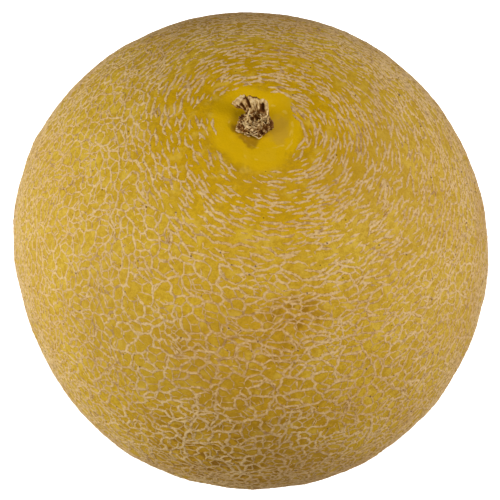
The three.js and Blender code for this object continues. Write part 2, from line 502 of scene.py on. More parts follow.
def layBarbs(draw, places, links, kept, ringed, count):  # short branches off the strands
    plan = strandPlan
    parts = draw.choice(np.flatnonzero(kept), count)
    share = draw.uniform(*plan["barbPlace"], (count, 1))
    first = places[links[parts, 0]]
    last = places[links[parts, 1]]
    roots = unit(first + (last - first) * share)
    along = unit(last - first)
    aside = np.cross(roots, along)
    leaning = ripple(roots, plan["barbLeanLength"], 45) + plan["barbLeanSpread"] * draw.normal(size=count)
    angle = np.radians(draw.uniform(*plan["barbAngle"], count)) * np.where(leaning > 0, 1.0, -1.0)
    reach = draw.uniform(*plan["barb"], count) / halfWidth
    tips = roots + (along * np.cos(angle)[:, None] + aside * np.sin(angle)[:, None]) * reach[:, None]
    plain = ringed[links[parts, 0]] < plan["barbRinged"]
    return [(np.stack([roots[i], tips[i]]), [parts[i]], False, True) for i in np.flatnonzero(plain)]


def sampleLines(lines, wideParts):
    # Each part becomes a smooth curve through its joints, cut into even steps.
    ends, slopes, widths, stepCounts, runOf, isLast = [], [], [], [], [], []
    for index, (line, parts, _, _) in enumerate(lines):
        slope = np.empty_like(line)
        slope[1:-1] = (line[2:] - line[:-2]) / 2
        slope[0] = line[1] - line[0]
        slope[-1] = line[-1] - line[-2]
        wide = wideParts[parts]
        wideAt = np.concatenate([wide[:1], (wide[1:] + wide[:-1]) / 2, wide[-1:]])
        spans = np.linalg.norm(np.diff(line, axis=0), axis=1) * halfWidth
        steps = np.maximum(1, np.round(spans / strandPlan["step"]).astype(int))
        ends.append(np.stack([line[:-1], line[1:]], 1))
        straight = np.diff(line, axis=0)[:, None]
        slopes.append(straight + strandPlan["bend"] * (np.stack([slope[:-1], slope[1:]], 1) - straight))
        widths.append(np.stack([wideAt[:-1], wideAt[1:]], 1))
        stepCounts.append(steps)
        runOf.append(np.full(len(parts), index))
        isLast.append(np.arange(len(parts)) == len(parts) - 1)
    ends, slopes, widths = map(np.concatenate, (ends, slopes, widths))
    stepCounts, runOf, isLast = map(np.concatenate, (stepCounts, runOf, isLast))
    counts = stepCounts + isLast
    part = np.repeat(np.arange(len(counts)), counts)
    first = np.cumsum(counts) - counts
    t = ((np.arange(len(part)) - first[part]) / stepCounts[part])[:, None]
    points = (
        (2 * t**3 - 3 * t**2 + 1) * ends[part, 0] + (3 * t**2 - 2 * t**3) * ends[part, 1]
        + (t**3 - 2 * t**2 + t) * slopes[part, 0] + (t**3 - t**2) * slopes[part, 1]
    )
    wide = widths[part, 0] * (1 - t[:, 0]) + widths[part, 1] * t[:, 0]
    return unit(points), wide, runOf[part]


def layerLines(layer):
    draw = np.random.default_rng(layer["seed"])
    places, stretched, links, isMain = planNet(layer, draw)
    places = straighten(places, links, isMain)
    ringed = smooth(stretched, *strandPlan["ringedJoints"])
    kept, spurs = keptParts(layer, draw, places, stretched, links, isMain)
    runs = joinParts(draw, places, links, kept, isMain, ringed)
    lines = layRuns(draw, places, links, runs, spurs)
    lines += layBarbs(draw, places, links, kept, ringed, layer["barbs"])
    thin = strandPlan["thin"] * patchFactor(places[links[:, 0]], strandPlan["thinPatches"])
    thin += (strandPlan["thinRinged"] - thin) * ringed[links[:, 0]]
    wideParts = layer["wide"] * np.where(isMain, 1.0, thin)
    wideParts *= 1 + (strandPlan["nearStem"] - 1) * ringed[links[:, 0]]
    points, wide, run = sampleLines(lines, wideParts)
    free = np.array([(freeStart, freeEnd) for _, _, freeStart, freeEnd in lines])
    print("net layer:", len(links), "parts,", len(lines), "strands,", len(points), "rings")
    return points, wide, run, free


def sweepStrands(points, wide, run, free):
    plan = strandPlan
    waves = [(plan["wander"], plan["wanderLength"], 51), (plan["shiver"], plan["shiverLength"], 61)]
    for size, length, seed in waves:
        push = np.stack([ripple(points, length / halfWidth, seed + axis) for axis in range(3)], 1)
        points = unit(points + push * size / halfWidth)
    base, normals = skinAt(points)
    starts = np.concatenate([[True], run[1:] != run[:-1]])
    stops = np.concatenate([run[1:] != run[:-1], [True]])
    index = np.arange(len(run))
    before = np.where(starts, index, index - 1)
    after = np.where(stops, index, index + 1)
    along = unit(base[after] - base[before])
    across = unit(np.cross(normals, along))
    travelled = np.cumsum(np.linalg.norm(base - base[before], axis=1))
    runStart = np.maximum.accumulate(np.where(starts, index, 0))
    runStop = (len(run) - 1) - np.maximum.accumulate(np.where(stops[::-1], index, 0))[::-1]
    fromStart = travelled - travelled[runStart]
    fromStop = travelled[runStop] - travelled
    taper = np.ones(len(run))
    for isFree, reach in ((free[run, 0], fromStart), (free[run, 1], fromStop)):
        lowest = np.where(isFree, *plan["tips"])
        taper = np.minimum(taper, lowest + (1 - lowest) * smooth(reach, -0.2, plan["tipLength"]))
    fullness = wide * taper * patchFactor(points, plan["widthPatches"])
    fullness *= 1 + plan["swelling"] * ripple(points, plan["swellLength"] / halfWidth, 71)
    height = plan["height"] * np.maximum(fullness, 0.05) ** 0.7
    height *= 1 + plan["lumpiness"] * ripple(points, plan["lumpLength"] / halfWidth, 72)
    feet = []
    for sideways, seed in ((-plan["footShare"], 73), (plan["footShare"], 74)):
        ragged = 1 + plan["ragged"] * ripple(points, plan["raggedLength"] / halfWidth, seed, 30)
        reach = plan["width"] * fullness * ragged * sideways
        feet.append(base + across * reach[:, None] - normals * plan["sunk"])
    rings = np.stack([feet[0], base + normals * height[:, None], feet[1]], 1)
    rings[:, :, 2] = np.maximum(rings[:, :, 2], plan["floorGap"])
    return rings, starts, stops


tonePlan = {  # where the fruit's colour is deeper or paler; lengths from the stem in millimetres
    "goldFrom": 20, "goldTo": 46,  # the deep yellow round the stem fades out between these
    "goldWaver": 5, "goldWaverLength": 0.35, "goldCork": 0.42,  # and the cork there is this much deeper
    "waver": 5, "waverLength": 0.4,  # the places below have uneven edges, in degrees and half widths
    "ripe": [  # azimuth, elevation, spread, strength
        (268, 2, 34, 1), (278, 38, 26, 0.74), (287, 46, 13, 0.9), (253, 34, 12, 0.9), (95, 30, 30, 1),
    ],
    "ripeCork": [
        (272, 38, 20, 0.9), (287, 46, 13, 1), (95, 18, 30, 0.7), (270, 62, 12, 0.75), (302, 22, 13, 0.7),
    ],
    "pale": [(352, 22, 44, 1), (190, 10, 42, 0.85)],
    "slightFrom": 0.45, "slightTo": 0.9,  # strands this thin have cork that is darker
}


def nearTo(ups, places):  # 1 in the middle of the nearest of these places, and fading out
    share = np.zeros(len(ups))
    for azimuth, elevation, spread, strength in places:
        apart = np.degrees(np.arccos(np.clip(ups @ towards(azimuth, elevation), -1, 1)))
        apart = apart + tonePlan["waver"] * ripple(ups, tonePlan["waverLength"], 88)
        share = np.maximum(share, strength * np.exp(-((apart / spread) ** 2)))
    return share


def goldAt(ups):
    reach = stemDistance(ups) + tonePlan["goldWaver"] * ripple(ups, tonePlan["goldWaverLength"], 81)
    return 1 - smooth(reach, tonePlan["goldFrom"], tonePlan["goldTo"])


points, wide, run, free = [], [], [], []
for layer in netLayers:
    layerPoints, layerWide, layerRun, layerFree = layerLines(layer)
    run.append(layerRun + sum(len(part) for part in free))
    points.append(layerPoints)
    wide.append(layerWide)
    free.append(layerFree)
points, wide, run, free = map(np.concatenate, (points, wide, run, free))
rings, starts, stops = sweepStrands(points, wide, run, free)


def netPiece(name, chosen):  # the strands whose rings are chosen, as one piece
    sides = rings.shape[1]
    corner = np.arange(sides)
    following = (corner + 1) % sides
    ringPoints = ((np.cumsum(chosen) - 1) * sides)[:, None]  # the first point of each ring in the new piece
    here = ringPoints[chosen & ~stops]
    quads = np.stack([here + corner, here + following, here + sides + following, here + sides + corner], 2)
    startCaps = ringPoints[chosen & starts] + corner
    stopCaps = ringPoints[chosen & stops] + corner
    faceSets = [quads.reshape(-1, 4)[:, ::-1], np.concatenate([startCaps, stopCaps[:, ::-1]])]
    foot = np.tile([True, False, True], chosen.sum())
    piece = solidPiece(name, rings[chosen].reshape(-1, 3) * shapeScale, faceSets, foot)
    paint(piece, "crest", np.where(foot, 0.0, 1.0))
    deep = nearTo(points[chosen], tonePlan["ripeCork"])
    deep = np.maximum(deep, tonePlan["goldCork"] * goldAt(points[chosen]))
    paint(piece, "ripe", np.repeat(deep, sides))
    slight = 1 - smooth(wide[chosen], tonePlan["slightFrom"], tonePlan["slightTo"])
    paint(piece, "slight", np.repeat(slight, sides))
    return piece


runMiddle = np.bincount(run, points[:, 2]) / np.bincount(run)
bandNames = ["net_base", "net_low", "net_middle", "net_high", "net_crown"]
levels = np.quantile(runMiddle[run], np.arange(1, len(bandNames)) / len(bandNames))
bands = np.searchsorted(levels, runMiddle)[run]
netPieces = [netPiece(name, bands == band) for band, name in enumerate(bandNames)]
print("net built:", [len(piece.data.polygons) for piece in netPieces])

rindPlan = {  # lengths in millimetres
    "columns": 330, "rows": 150, "closeRows": 58, "closeTo": 20,  # rows stand closer round the stem
    "bareFrom": 11.5, "bareTo": 15,  # the clear yellow round the stem
    "bareReach": 0.4,  # share of the net's further clear skin that the clear yellow follows
    "bareWaver": 1.2, "bareWaverLength": 0.12,  # and its uneven edge, the length in half widths
    "waver": 0.35, "waverLength": 2.2,  # the painted shapes have uneven edges
    "stainPoint": (-0.8, -8.6), "stainTop": (-1.9, -2.6), "stainHalf": 4.0,  # a brown wedge before the stub
    "stainSides": (-1.8, 0.9), "stainBack": (0, 2),  # its soft edges
    "stainPointFrom": -0.6, "stainPointTo": 2.6,
    "stainStrength": 0.95, "stainPatches": 0.25, "stainPatchLength": 1.3,
    "dull": (6.6, 0.0, 3.9, 6.2),  # a dull patch beside the stub: across, back, half width, half depth
    "marks": [(3.0, 0.6, 7.4), (1.5, -1.0, 9.4)],  # pale broken rings: across, back, radius
    "markEdge": (0.1, 0.5), "markBreaks": 4.5,  # half their width, solid and faded, and the breaks' length
    "blots": [  # across, back, half width, half depth, strength: brown blots round the stub, the first two a painted shade at its foot
        (-0.3, 0.8, 7.4, 6.6, 0.24), (-4.6, -1.8, 2.2, 3.2, 0.34), (-4.6, -13.2, 4.2, 1.9, 0.4),
        (12.5, -8.6, 4.5, 2.4, 0.4), (0.5, 16.5, 6.0, 1.8, 0.4),
    ],
    "scarRadius": 4.2, "scarEdge": (0.4, 1.6),  # of the blossom scar underneath
}


def buildRind():
    columns = rindPlan["columns"]
    closeTo = rindPlan["closeTo"] / halfWidth
    closePolar = np.linspace(0, closeTo, rindPlan["closeRows"] + 1)[1:]
    polar = np.concatenate([closePolar, np.linspace(closeTo, math.pi, rindPlan["rows"] + 2)[1:-1]])
    turn = np.arange(columns) / columns * 2 * math.pi
    polarGrid, turnGrid = np.meshgrid(polar, turn, indexing="ij")
    ups = np.stack([
        np.sin(polarGrid) * np.cos(turnGrid), np.sin(polarGrid) * np.sin(turnGrid), np.cos(polarGrid)
    ], 2).reshape(-1, 3)
    ups = np.concatenate([ups, [[0, 0, 1.0], [0, 0, -1.0]]])
    skin, _ = skinAt(ups)
    return solidPiece("rind", skin * shapeScale, capped(len(polar), columns)), ups, skin


def stainAndShadeAt(across, back, skin):  # the brown wedge in front of the stub, and brown blots round it, those at the stub's foot a painted shade
    pointAcross, pointBack = rindPlan["stainPoint"]
    topAcross, topBack = rindPlan["stainTop"]
    share = np.clip((back - pointBack) / (topBack - pointBack), 0, 1.5)  # 0 at the wedge's point
    off = np.abs(across - pointAcross - (topAcross - pointAcross) * share) - rindPlan["stainHalf"] * share
    ends = pointBack + rindPlan["stainPointFrom"], pointBack + rindPlan["stainPointTo"]
    stainAndShade = (1 - smooth(off, *rindPlan["stainSides"])) * smooth(back, *ends)
    stainAndShade *= 1 - smooth(back, *rindPlan["stainBack"])
    patches = rindPlan["stainPatches"] * ripple(skin, rindPlan["stainPatchLength"], 89)
    stainAndShade *= rindPlan["stainStrength"] + patches
    # the blots at the stub's foot are painted shade, the others brown blots on the skin
    for blotAcross, blotBack, halfAcross, halfBack, strength in rindPlan["blots"]:
        reach = np.hypot((across - blotAcross) / halfAcross, (back - blotBack) / halfBack)
        reach += 0.35 * ripple(skin, 1.6, 86)
        stainAndShade = np.maximum(stainAndShade, strength * (1 - smooth(reach, 0.5, 1.15)))
    return stainAndShade


def dullAt(across, back, skin):
    dullAcross, dullBack, halfAcross, halfBack = rindPlan["dull"]
    reach = np.hypot((across - dullAcross) / halfAcross, (back - dullBack) / halfBack)
    return 1 - smooth(reach + 0.2 * ripple(skin, 2.5, 91), 0.3, 1.2)


def markAt(across, back, skin):
    mark = np.zeros(len(skin))
    for markAcross, markBack, radius in rindPlan["marks"]:
        off = np.abs(np.hypot(across - markAcross, back - markBack) - radius)
        whole = smooth(ripple(skin, rindPlan["markBreaks"], 87), 0.0, 0.4)
        mark = np.maximum(mark, (1 - smooth(off, *rindPlan["markEdge"])) * whole)
    return mark


def scarAt(fromStem, skin):
    off = np.abs(fromStem.max() - fromStem - rindPlan["scarRadius"])
    return 1 - smooth(off + 0.6 * ripple(skin, 2.5, 85), *rindPlan["scarEdge"])


def paintRind(rind, ups, skin):
    fromStem = stemDistance(ups)
    clear = fromStem - rindPlan["bareReach"] * bareMore(ups)
    clear = clear + rindPlan["bareWaver"] * ripple(ups, rindPlan["bareWaverLength"], 83)
    across = skin[:, 0] + rindPlan["waver"] * ripple(skin, rindPlan["waverLength"], 82)
    back = skin[:, 1] + rindPlan["waver"] * ripple(skin, rindPlan["waverLength"], 84)
    isTop = ups[:, 2] > 0
    paint(rind, "gold", goldAt(ups))
    paint(rind, "bare", 1 - smooth(clear, rindPlan["bareFrom"], rindPlan["bareTo"]))
    paint(rind, "stainAndShade", stainAndShadeAt(across, back, skin) * isTop)
    paint(rind, "dull", dullAt(across, back, skin) * isTop)
    paint(rind, "mark", markAt(across, back, skin) * isTop)
    paint(rind, "ripe", nearTo(ups, tonePlan["ripe"]))
    paint(rind, "pale", nearTo(ups, tonePlan["pale"]))
    paint(rind, "scar", scarAt(fromStem, skin) * ~isTop)


rind, rindUps, rindSkin = buildRind()
paintRind(rind, rindUps, rindSkin)
print("rind built:", len(rind.data.polygons))

stumpPlan = {  # the crumbled stump, in millimetres
    "middle": (-0.3, 1.1), "halfWidth": 5.0, "halfDepth": 4.2, "height": 2.2, "rings": 60, "columns": 170,
    "shoulder": 0.62,  # share of the rings that lie on the top, before the surface goes down to the foot
    "shoulderReach": 0.86, "foot": -1.6,  # how far out the shoulder is, and how deep the foot goes
    "lumps": 520, "lumpHeight": 0.6, "lumpMargin": 0.8, "lumpMiddle": 1.2, "lumpRise": 2.4,
    "grain": 0.14, "seed": 4, "hollowDepth": 0.9,
    "hollows": [  # across, back, half width, half depth, strength: hollows, sunk into the stub and painted dark as shade
        (-0.2, 2.2, 1.4, 1.3, 0.95), (1.2, -1.9, 1.0, 0.55, 0.9), (2.7, -1.1, 1.0, 0.6, 0.9),
        (4.4, 1.6, 1.3, 3.0, 0.5), (-4.2, 2.8, 1.2, 1.1, 0.8), (-1.6, -0.4, 0.8, 0.5, 0.8),
        (0.9, 0.4, 0.5, 0.8, 0.7), (-0.4, -2.0, 0.5, 0.4, 0.7), (2.3, 0.9, 0.7, 0.5, 0.6),
    ],
}
fibrePlan = {  # torn fibres that curl over the stump, in millimetres
    "count": 190, "shortest": 0.7, "longest": 2.8, "thinnest": 0.08, "thickest": 0.2,
    "rings": 12, "sides": 6, "flattest": 0.45, "roundest": 0.9,
    "curl": 0.4, "lift": 0.7, "seed": 9,
    "within": 0.72,  # share of the stump's area that they lie in
    "hollowLoss": 1.2,  # they stay out of the hollows painted dark as shade
    "source": 3.6, "headingSpread": 0.8,  # most of them run away from this far back
    "turned": 0.35,  # and this share lies across the others
    "above": 0.15, "slip": (-0.15, 0.25),  # how far they lie above the stump, and more or less than that
    "thinTip": 0.45, "knots": 0.3,  # width of the tips, and the knots along them, as shares
    "cordWander": 0.24, "cordRoundness": 0.8, "cordLight": 0.9,
    "tones": [  # share of the fibres, least and most light
        (0.42, 0.85, 1.1), (0.34, 0.5, 0.75), (0.24, 0.15, 0.4),
    ],
    "cords": [  # the thicker ones, most of which come down from the fan: thickness, and points on the way
        (0.3, [(-1.9, 4.0, 4.2), (-2.3, 2.6, 3.4), (-2.6, 0.9, 2.7), (-2.7, -0.7, 2.1), (-2.2, -2.0, 1.2)]),
        (0.28, [(2.9, 3.7, 3.6), (3.1, 2.6, 3.1), (2.3, 1.9, 2.9), (1.3, 1.9, 2.7)]),
        (0.26, [(3.2, 1.9, 2.7), (3.3, 1.0, 2.4), (2.7, 0.3, 2.3)]),
        (0.28, [(0.6, 1.2, 2.8), (0.4, 0.0, 2.7), (0.9, -1.0, 2.2), (0.6, -2.2, 1.3)]),
        (0.28, [(-3.9, 1.4, 1.9), (-4.1, 0.3, 1.7), (-3.3, -0.4, 2.0), (-3.6, -1.4, 1.2)]),
        (0.18, [(-3.2, -2.0, 0.6), (-2.5, -2.5, 0.8), (-1.7, -2.6, 0.6)]),
        (0.17, [(-1.2, -2.7, 0.6), (0.2, -3.4, 0.7), (1.2, -3.6, 0.5), (2.0, -3.1, 0.6)]),
    ],
}
fanPlan = {  # the torn wall that stands up behind the stump, in millimetres
    "across": 150, "up": 70, "thickness": 0.55,
    "foot": [(-3.2, 2.2, 1.0), (-1.5, 3.1, 1.2), (0.3, 3.5, 1.3), (2.2, 3.3, 1.2), (3.6, 2.4, 1.0)],
    "waist": [(-3.5, 3.3, 3.5), (-1.9, 4.0, 3.8), (0.2, 4.0, 3.9), (2.0, 3.9, 3.6), (3.4, 3.5, 3.1)],
    "edge": [(-7.4, 4.4, 5.6), (-4.4, 6.2, 7.4), (-1.2, 5.9, 7.1), (1.6, 5.6, 6.7), (3.1, 4.9, 5.8)],
    "valleys": [  # share across at the waist and at the edge, half width, depth, share up from and to
        (0.00, 0.02, 0.014, 0.4, 0.45, 0.92), (0.06, 0.12, 0.045, 0.65, 0.50, 0.86),
        (0.25, 0.32, 0.05, 0.7, 0.50, 0.94), (0.48, 0.54, 0.026, 0.5, 0.50, 0.74),
        (0.70, 0.75, 0.08, 0.85, 0.36, 0.84), (0.16, 0.22, 0.018, 0.3, 0.40, 0.80),
        (0.60, 0.66, 0.018, 0.25, 0.50, 0.90), (0.40, 0.43, 0.015, 0.3, 0.45, 0.70),
    ],
    "raggedness": 0.35, "fold": 0.22, "ribs": 0.08, "backRibs": 0.05,
    "light": 0.88, "valleyShade": 1.4, "ribShade": 0.3, "footShade": 0.5, "rimShade": 0.9,
    "backLight": 0.35, "backRibShade": 0.2,
}
rootGap = 0.35  # the solid stub's root ends this far above the pit's floor
pitEdge = (stubLow.z - fruitLow.z) / shapeScale + melonShape["pitDepth"] - rootGap


def cellDistances(points, seeds):
    gaps = np.linalg.norm(points[:, None, :] - seeds[None, :, :], axis=2)
    gaps.partition(1, axis=1)
    return gaps[:, 0], gaps[:, 1]


def hollowAt(points):  # how deep in a hollow of the stub, from 0 to 1; the hollows are sunk and painted dark as shade
    share = np.zeros(len(points))
    for across, back, halfAcross, halfBack, strength in stumpPlan["hollows"]:
        reach = np.hypot((points[:, 0] - across) / halfAcross, (points[:, 1] - back) / halfBack)
        share = np.maximum(share, strength * (1 - smooth(reach + 0.3 * ripple(points, 1.1, 98), 0.5, 1.2)))
    return share


def stumpParts():
    plan = stumpPlan
    own = np.random.default_rng(plan["seed"])
    margin = plan["lumpMargin"]
    seeds = own.uniform(-1, 1, (plan["lumps"], 3))
    seeds = seeds * [plan["halfWidth"] + margin, plan["halfDepth"] + margin, plan["lumpRise"]]
    seeds = seeds + [0, 0, plan["lumpMiddle"]]
    reach = np.linspace(0, 1, plan["rings"] + 1)[1:]
    turn = np.arange(plan["columns"]) / plan["columns"] * 2 * math.pi
    reachGrid, turnGrid = np.meshgrid(reach, turn, indexing="ij")
    bend = np.clip((reachGrid - plan["shoulder"]) / (1 - plan["shoulder"]), 0, 1)
    radius = np.minimum(reachGrid, plan["shoulder"]) / plan["shoulder"] * plan["shoulderReach"]
    radius += (1 - plan["shoulderReach"]) * np.sin(bend * math.pi / 2)
    radius *= 1 + 0.06 * np.sin(2 * turnGrid + 0.8) + 0.05 * np.sin(5 * turnGrid + 2.0)
    height = plan["height"] * (1 - bend**1.5 * 1.5)
    points = np.stack([radius * np.cos(turnGrid), radius * np.sin(turnGrid), height], 2).reshape(-1, 3)
    points = points * np.array([plan["halfWidth"], plan["halfDepth"], 1.0])
    points = np.concatenate([points, [[0, 0, plan["height"]], [0, 0, plan["foot"]]]])
    warped = points + np.stack([0.5 * ripple(points, 1.9, 90 + axis) for axis in range(3)], 1)
    nearest, second = cellDistances(warped * [1, 1, 1.4], seeds)
    lump = smooth(second - nearest, 0.0, 0.5)
    outward = unit(points * [1, 1, 0.5] + [0, 0, 1.5])
    rough = plan["grain"] * ripple(points, 0.55, 95) + 0.4 * ripple(points, 2.6, 96)
    points += outward * (plan["lumpHeight"] * (lump - 0.6) + rough)[:, None]
    points[-1] = (0, 0, plan["foot"])
    points += [*plan["middle"], 0]
    points[:, 2] -= plan["hollowDepth"] * hollowAt(points)
    shade = 0.3 * ripple(points, 1.2, 97) + 0.3 * ripple(points, 0.45, 99)
    # painted light and shade: raised lumps are paler, the gaps and hollows darker, with some random variation
    # added
    light = np.clip(1.1 * lump - 0.04 + shade, 0, 1) * (1 - hollowAt(points))
    return points, capped(plan["rings"], plan["columns"]), light


def domeHeight(across, back):  # of the stump's top, without its lumps
    reach = np.hypot((across - stumpPlan["middle"][0]) / stumpPlan["halfWidth"],
                     (back - stumpPlan["middle"][1]) / stumpPlan["halfDepth"])
    return stumpPlan["height"] * (1 - np.clip(reach, 0, 1.1) ** 3.2)


def alongPoints(points, share):  # a smooth curve through a few points
    points = np.array(points, float)
    place = np.clip(share, 0, 1) * (len(points) - 1)
    low = np.clip(np.floor(place).astype(int), 0, len(points) - 2)
    t = (place - low)[:, None]
    padded = np.concatenate([2 * points[:1] - points[1:2], points, 2 * points[-1:] - points[-2:-1]])
    before, here, after, beyond = (padded[low + k] for k in range(4))
    return 0.5 * (
        2 * here + (after - before) * t + (2 * before - 5 * here + 4 * after - beyond) * t**2
        + (3 * here - before - 3 * after + beyond) * t**3
    )


def tube(path, thickness, flat, sides):  # a closed tube round a path, thickness for each point of it
    along = unit(np.gradient(path, axis=0))
    across = unit(np.cross(along, [0.03, 0.02, 1.0]))
    over = np.cross(across, along)
    turn = np.arange(sides) / sides * 2 * math.pi
    rings = path[:, None] + thickness[:, None, None] * (
        np.cos(turn)[None, :, None] * across[:, None] + flat * np.sin(turn)[None, :, None] * over[:, None]
    )
    points = np.concatenate([rings.reshape(-1, 3), path[:1], path[-1:]])
    return points, np.tile(np.sin(turn), len(path))


def fibrePaths():  # each fibre's way, thickness, roundness and lightness
    plan = fibrePlan
    own = np.random.default_rng(plan["seed"])
    shares = [share for share, _, _ in plan["tones"]]
    paths = []
    while len(paths) < plan["count"]:
        reach = math.sqrt(own.uniform(0, plan["within"]))
        around = own.uniform(0, 2 * math.pi)
        spot = np.array(stumpPlan["middle"]) + reach * np.array([
            stumpPlan["halfWidth"] * math.cos(around), stumpPlan["halfDepth"] * math.sin(around)
        ])
        if own.uniform() < plan["hollowLoss"] * hollowAt(np.array([[*spot, 2.0]]))[0]:
            continue
        heading = math.atan2(spot[1] - plan["source"], spot[0]) + own.normal() * plan["headingSpread"]
        if own.uniform() < plan["turned"]:
            heading += math.pi / 2
        stride = own.uniform(plan["shortest"], plan["longest"]) / plan["rings"]
        turns = own.normal() * plan["curl"] * 0.6 + own.normal(size=plan["rings"]) * plan["curl"] * 0.5
        headings = heading + np.cumsum(turns)
        steps = np.stack([np.cos(headings), np.sin(headings)], 1) * stride
        flat = spot + np.cumsum(steps, 0) - steps.sum(0) / 2
        arch = np.sin(np.linspace(0, 1, plan["rings"]) * math.pi)
        lift = own.uniform(0.0, plan["lift"]) * arch + own.uniform(*plan["slip"])
        thickness = own.uniform(plan["thinnest"], plan["thickest"])
        height = np.maximum(domeHeight(flat[:, 0], flat[:, 1]), 0.1) + lift + plan["above"]
        _, darkest, lightest = plan["tones"][own.choice(len(shares), p=shares)]
        light = own.uniform(darkest, lightest)
        roundness = own.uniform(plan["flattest"], plan["roundest"])
        paths.append((np.column_stack([flat, height]), thickness, roundness, light))
    for thickness, points in plan["cords"]:
        path = alongPoints(points, np.linspace(0, 1, 3 * plan["rings"]))
        path += np.stack([plan["cordWander"] * ripple(path, 1.3, 110 + axis) for axis in range(3)], 1)
        paths.append((path, thickness, plan["cordRoundness"], plan["cordLight"]))
    return paths


def fibreParts():
    plan = fibrePlan
    allPoints, allLight, quads, triangles = [], [], [], []
    total = 0
    for path, thickness, roundness, light in fibrePaths():
        swell = np.sin(np.linspace(0, 1, len(path)) * math.pi) ** 0.5
        swell = plan["thinTip"] + (1 - plan["thinTip"]) * swell
        knots = 1 + plan["knots"] * ripple(path, 0.9, 120)
        points, upward = tube(path, thickness * knots * swell, roundness, plan["sides"])
        sideFaces, endFaces = capped(len(path), plan["sides"])
        quads.append(sideFaces + total)
        triangles.append(endFaces + total)
        grain = 0.2 * ripple(points, 0.6, 121)
        # painted light: each fibre is lighter on its upper side and darker at its ends, over its own tone
        allLight.append(np.concatenate([light * (0.7 + 0.4 * upward), [light * 0.5] * 2]) + grain)
        allPoints.append(points)
        total += len(points)
    points = np.concatenate(allPoints)
    # painted shade: fibres in the stub's hollows are darker
    light = np.clip(np.concatenate(allLight), 0, 1) * (1 - 0.6 * hollowAt(points))
    return points, [np.concatenate(quads), np.concatenate(triangles)], light


def threeWay(share, first, second, third):  # a quadratic curve through three rows of points
    return (
        first * ((share - 0.5) * (share - 1) * 2) + second * (-4 * share * (share - 1))
        + third * (share * (share - 0.5) * 2)
    )


def fanParts():
    plan = fanPlan
    across, up = plan["across"], plan["up"]
    share = np.linspace(0, 1, across)
    foot, waist, edge = (alongPoints(plan[key], share) for key in ("foot", "waist", "edge"))
    ragged = plan["raggedness"] * (ripple(edge, 1.7, 101) + 0.5 * ripple(edge, 0.7, 102))
    edge[:, 2] += ragged
    edge[:, 1] += 0.5 * ragged
    rise = np.linspace(0, 1, up)[:, None]
    sheet = threeWay(rise[:, :, None], foot[None], waist[None], edge[None])
    facing = unit(np.cross(np.gradient(sheet, axis=1), np.gradient(sheet, axis=0)))
    depth = np.zeros((up, across))
    for atWaist, atEdge, half, deep, low, high in plan["valleys"]:
        middle = atWaist + (atEdge - atWaist) * (2 * rise - 1)
        window = smooth(rise, low - 0.06, low + 0.08) * (1 - smooth(rise, high - 0.1, high + 0.03))
        depth += deep * np.exp(-(((share[None] - middle) / half) ** 2)) * window
    flat = sheet.reshape(-1, 3)
    fibre = ripple(flat * [1, 1, 0.12], 0.6, 103).reshape(up, across)
    fold = plan["fold"] * ripple(flat * [1, 1, 0.3], 2.4, 104).reshape(up, across)
    offset = fold + plan["ribs"] * fibre - depth
    front = sheet + facing * offset[:, :, None]
    thickness = plan["thickness"] * (1 - 0.75 * rise**3)  # thinner towards the torn edge
    back = sheet - facing * (thickness + depth + plan["backRibs"] * fibre)[:, :, None]
    grid = np.arange(up * across).reshape(up, across)
    behind = grid + up * across
    quads = [
        np.stack([grid[:-1, :-1], grid[:-1, 1:], grid[1:, 1:], grid[1:, :-1]], 2).reshape(-1, 4),
        np.stack([behind[:-1, :-1], behind[1:, :-1], behind[1:, 1:], behind[:-1, 1:]], 2).reshape(-1, 4),
        np.stack([grid[-1, :-1], grid[-1, 1:], behind[-1, 1:], behind[-1, :-1]], 1),
        np.stack([grid[0, 1:], grid[0, :-1], behind[0, :-1], behind[0, 1:]], 1),
        np.stack([grid[1:, 0], behind[1:, 0], behind[:-1, 0], grid[:-1, 0]], 1),
        np.stack([grid[:-1, -1], behind[:-1, -1], behind[1:, -1], grid[1:, -1]], 1),
    ]
    rim = smooth(rise, 0.93, 0.99) * smooth(ripple(edge, 2.2, 105), -0.1, 0.25)[None]  # the torn edge, painted dark as shade
    # painted light and shade: darker in the valleys and towards the foot, lighter on the ribs, and the back
    # side shaded
    frontLight = plan["light"] - plan["valleyShade"] * depth + plan["ribShade"] * fibre
    frontLight = frontLight - plan["footShade"] * (1 - smooth(rise, 0.3, 0.62)) - plan["rimShade"] * rim
    backLight = plan["backLight"] + plan["backRibShade"] * fibre
    light = np.concatenate([frontLight.ravel(), backLight.ravel()])
    points = np.concatenate([front.reshape(-1, 3), back.reshape(-1, 3)])
    return points, np.concatenate(quads), np.clip(light, 0, 1)


def buildStem():
    stump, stumpFaces, stumpLight = stumpParts()
    fibres, fibreFaces, fibreLight = fibreParts()
    fan, fanQuads, fanLight = fanParts()
    firstFan = len(stump) + len(fibres)
    points = np.concatenate([stump, fibres, fan]) + [0, 0, pitEdge]
    piece = solidPiece("stem", points * shapeScale, [
        np.concatenate([stumpFaces[0], fibreFaces[0] + len(stump), fanQuads + firstFan]),
        np.concatenate([stumpFaces[1], fibreFaces[1] + len(stump)]),
    ])
    paint(piece, "light", np.concatenate([stumpLight, fibreLight, fanLight]))
    return piece


stem = buildStem()
print("stem built:", len(stem.data.polygons))


def linear(*colour):  # red, green and blue from screen values of 0 to 255
    return tuple(part / 3294.6 if part < 11 else ((part / 255 + 0.055) / 1.055) ** 2.4 for part in colour)


def addNode(tree, kind, settings=None, inputs=None):
    node = tree.nodes.new(kind)
    for key, value in (settings or {}).items():
        setattr(node, key, value)
    for key, value in (inputs or {}).items():
        if isinstance(value, bpy.types.NodeSocket):
            tree.links.new(value, node.inputs[key])
        else:
            node.inputs[key].default_value = value
    return node


def calculate(tree, operation, first, second):
    return addNode(tree, "ShaderNodeMath", {"operation": operation}, {0: first, 1: second}).outputs[0]


